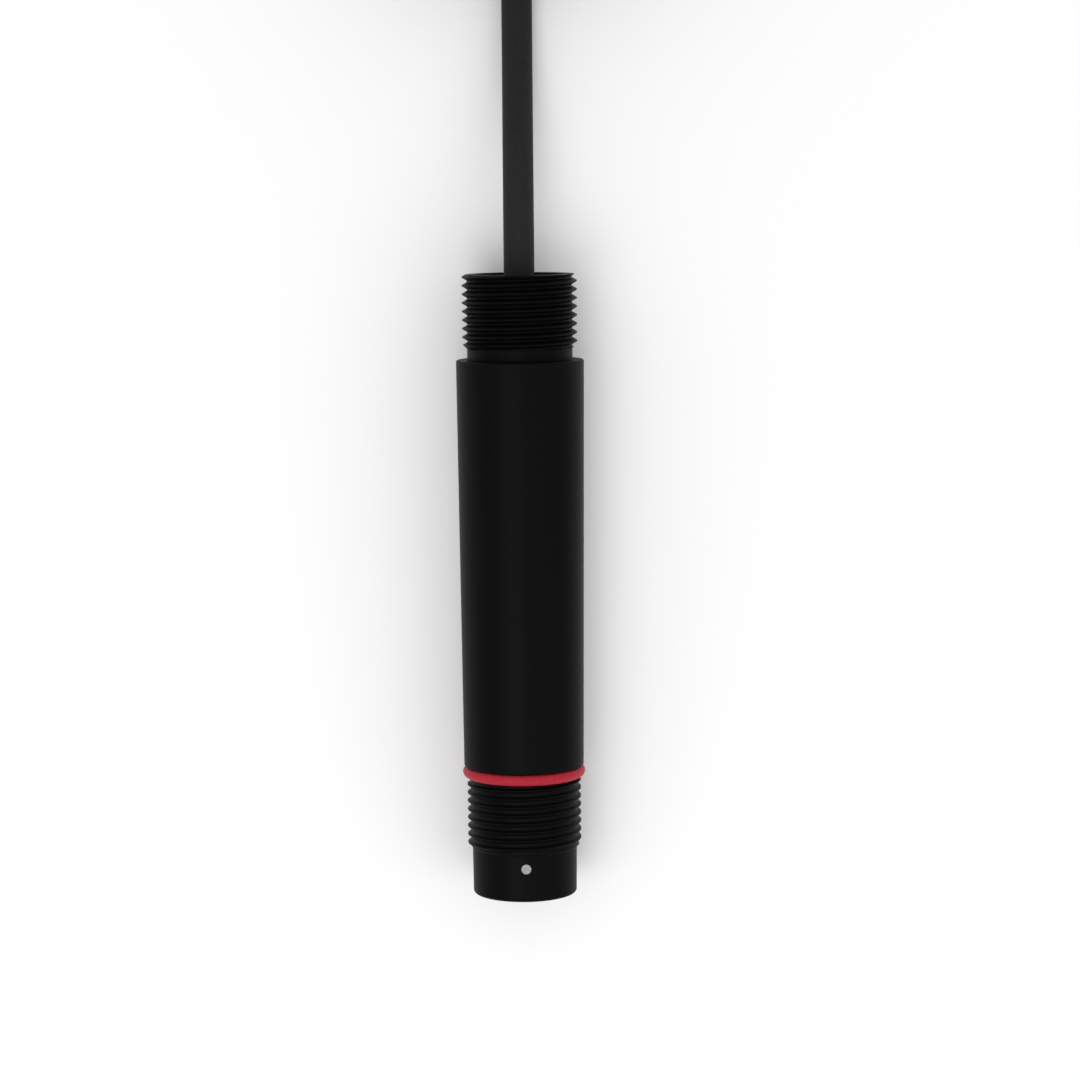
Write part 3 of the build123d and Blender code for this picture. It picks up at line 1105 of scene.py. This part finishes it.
@dataclass
class MouldedBody:
    """The moulded body with both threads cut true, its chambers and the junction's bore."""

    tip_length: float = 11.1
    tip_end: float = 12.3
    tip_top: float = 12.4
    tip_round: float = 0.8
    lower_first_crest: float = 12.3
    lower_root: float = 12.75
    lower_end: float = 13.1
    ring_low: float = 27.8
    groove: float = 11.85
    shoulder_low: float = 30.7
    shoulder_high: float = 127.1
    barrel_lower: float = 14.2
    barrel_upper: float = 15.0
    shoulder_round: float = 0.5
    neck_high: float = 129.7
    neck: float = 12.35
    upper_first_crest: float = 144.46
    upper_end: float = 12.9
    top_face: float = 12.3
    length: float = 147.1
    chamber: float = 9.5
    guard_depth: float = 5.0
    bulkhead: float = 1.6
    stem_bore: float = 4.1
    mouth: float = 10.2
    mouth_depth: float = 20.5
    mouth_chamfer: float = 0.4
    junction: float = 1.15
    junction_station: float = 8.0
    junction_turn: float = 1.6
    columns: int = 160

    def build(self) -> bpy.types.Object:
        """Makes the body from one closed section, its radius varied round the threads.

        Returns:
            The body.
        """
        angles = full_circle(self.columns)
        lower = ScrewThread(
            self.tip_length,
            self.ring_low,
            self.lower_first_crest,
            self.tip_top,
            self.lower_end,
            root=self.lower_root,
        )
        upper = ScrewThread(
            self.neck_high, self.length, self.upper_first_crest, self.neck, self.upper_end
        )
        round_, tip = self.shoulder_round, self.tip_round
        low_side, high_side = self.barrel_lower, self.barrel_upper
        before = [
            stretch((0, self.chamber + self.mouth_chamfer), (0, self.tip_end - tip)),
            bend((tip, self.tip_end - tip), (tip, tip), 180, 90, 9),
            stretch((tip, self.tip_end), (self.tip_length - 0.02, self.tip_top), 6),
        ]
        between = [
            stretch((self.ring_low, self.groove), (self.shoulder_low, self.groove)),
            stretch((self.shoulder_low, self.groove), (self.shoulder_low, low_side - round_)),
            bend((self.shoulder_low + round_, low_side - round_), (round_, round_), 180, 90, 9),
            stretch(
                (self.shoulder_low + round_, low_side), (self.shoulder_high - round_, high_side), 30
            ),
            bend((self.shoulder_high - round_, high_side - round_), (round_, round_), 90, 0, 9),
            stretch((self.shoulder_high, high_side - round_), (self.shoulder_high, self.neck)),
            stretch((self.shoulder_high, self.neck), (self.neck_high - 0.02, self.neck)),
        ]
        rim = self.mouth + self.mouth_chamfer
        seat = self.length - self.mouth_depth
        floor = self.guard_depth + self.bulkhead
        after = [
            stretch((self.length, self.top_face), (self.length, rim)),
            stretch((self.length, rim), (self.length - self.mouth_chamfer, self.mouth)),
            stretch((self.length - self.mouth_chamfer, self.mouth), (seat, self.mouth)),
            stretch((seat, self.mouth), (seat, self.chamber)),
            stretch((seat, self.chamber), (floor, self.chamber), 6),
            stretch((floor, self.chamber), (floor, self.stem_bore)),
            stretch((floor, self.stem_bore), (self.guard_depth, self.stem_bore)),
            stretch((self.guard_depth, self.stem_bore), (self.guard_depth, self.chamber)),
            stretch((self.guard_depth, self.chamber), (self.mouth_chamfer, self.chamber)),
            stretch((self.mouth_chamfer, self.chamber), (0, self.chamber + self.mouth_chamfer)),
        ]
        bands = []
        for spans, thread in ((before, lower), (between, upper), (after, None)):
            section = np.concatenate(spans)
            bands.append(about_axis(section[:, :1], section[:, 1:], angles[None]))
            if thread:
                bands.append(
                    about_axis(thread.stations()[:, None], thread.radii(angles), angles[None])
                )
        body = surface("moulded_body", np.concatenate(bands), close_along=True, sharp=65.0)
        self.bore_junction(body)
        settle(body, MOULDED_PPS, ["sensor_body"])
        return body

    def bore_junction(self, body: bpy.types.Object) -> None:
        """Cuts the junction's round bore through the tip's wall.

        Args:
            body: the body's mesh object.
        """
        turn = math.radians(self.junction_turn)
        outward = np.array([math.sin(turn), 0.0, math.cos(turn)])
        start = np.array([0.0, TIP_FACE + self.junction_station, AXIS_HEIGHT])
        reach = np.linspace(self.stem_bore, self.tip_top + 2, 4)
        path = start + reach[:, None] * outward
        round_ = full_circle(40)
        section = self.junction * np.stack([np.cos(round_), np.sin(round_)], -1)
        across = np.broadcast_to(section, (len(reach), 40, 2))
        cutter = surface("bore", capped(tube(path, across, np.array([0, 1.0, 0]))))
        cut = body.modifiers.new("bore", "BOOLEAN")
        cut.operation = "DIFFERENCE"
        cut.solver = "EXACT"
        cut.object = cutter
        graph = bpy.context.evaluated_depsgraph_get()
        bored = bpy.data.meshes.new_from_object(body.evaluated_get(graph))
        body.modifiers.clear()
        body.data = bored
        bpy.data.objects.remove(cutter)
        body.data.set_sharp_from_angle(angle=math.radians(65.0))


@dataclass
class SealRing:
    """The red ring in its groove, round in section, with the thin line left by its mould."""

    station: float = 29.375
    radius: float = 13.175
    cord: float = 1.325
    line_height: float = 0.03

    def build(self) -> bpy.types.Object:
        """Makes the ring: a circle carried round the axis, a low ridge along its outermost line.

        Returns:
            The ring.
        """
        section = full_circle(48)
        ridge = self.line_height * np.exp(-((np.sin(section / 2) / 0.05) ** 2))
        cord = self.cord + ridge
        stations = self.station + cord * np.sin(section)
        radii = self.radius + cord * np.cos(section)
        points = about_axis(stations[:, None], radii[:, None], full_circle(160)[None])
        ring = surface("red_seal_ring", points, close_along=True)
        settle(ring, MOULDED_SILICONE, ["seal_ring"])
        return ring


@dataclass
class GlassStem:
    """Glass tube with its round membrane, thinner at the tip."""

    setback: float = 0.8
    outer: float = 4.0
    wall: float = 0.8
    membrane: float = 0.4
    length: float = 104.0

    def build(self) -> bpy.types.Object:
        """Makes the stem: its section, from pole to pole, carried round the axis.

        Returns:
            The stem.
        """
        centre = self.setback + self.outer
        top = self.setback + self.length
        bore = self.outer - self.wall
        section = np.concatenate(
            [
                bend((centre, 0), (self.outer, self.outer), 180, 90, 25),
                stretch((centre, self.outer), (top, self.outer), 8),
                stretch((top, self.outer), (top, bore)),
                stretch((top, bore), (centre, bore), 8),
                bend((centre, 0), (self.outer - self.membrane, bore), 90, 180, 25),
            ]
        )
        section[[0, -1], 1] = 0.0
        points = about_axis(section[:, :1], section[:, 1:], full_circle(96)[None])
        stem = surface("glass_tube", points)
        settle(stem, BLOWN_GLASS, ["glass_stem"])
        return stem


class InnerPieces:
    """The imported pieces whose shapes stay, each with the finish of its real material."""

    finishes = {
        "junction_plug": SINTERED_CERAMIC,
        "stem_seal": CLEAR_SILICONE,
        "stem_stopper": CLEAR_SILICONE,
        "inner_electrode": CHLORIDED_SILVER,
        "reference_tube": MOULDED_POLYPROPYLENE,
        "inner_junction": SINTERED_CERAMIC,
        "reference_wire": CHLORIDED_SILVER,
        "temperature_probe": BLOWN_GLASS,
        "temperature_leads": TINNED_COPPER,
        "chamber_plug": MOULDED_POLYPROPYLENE,
        "crimp_sleeves": TINNED_COPPER,
        "cable_cores": MOULDED_POLYPROPYLENE,
        "cable_clamp": CRIMPED_ALUMINIUM,
        "potting": CAST_EPOXY,
    }

    def build(self) -> None:
        """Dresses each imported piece."""
        for node, finish in self.finishes.items():
            dress(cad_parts[node], finish)
            log.info("dressed %s", node)


def main() -> None:
    """Builds the scene: camera and cable first, then the object's pieces."""
    logging.basicConfig(level=logging.INFO, format="%(name)s: %(message)s")
    Studio().build()
    route = Cable()
    cable = route.build()
    tape = HankTie(route.middle).build()
    end_pieces = BareEnd(route.far).build()
    MouldedBody().build()
    SealRing().build()
    GlassStem().build()
    InnerPieces().build()


if __name__ == "__main__":
    main()
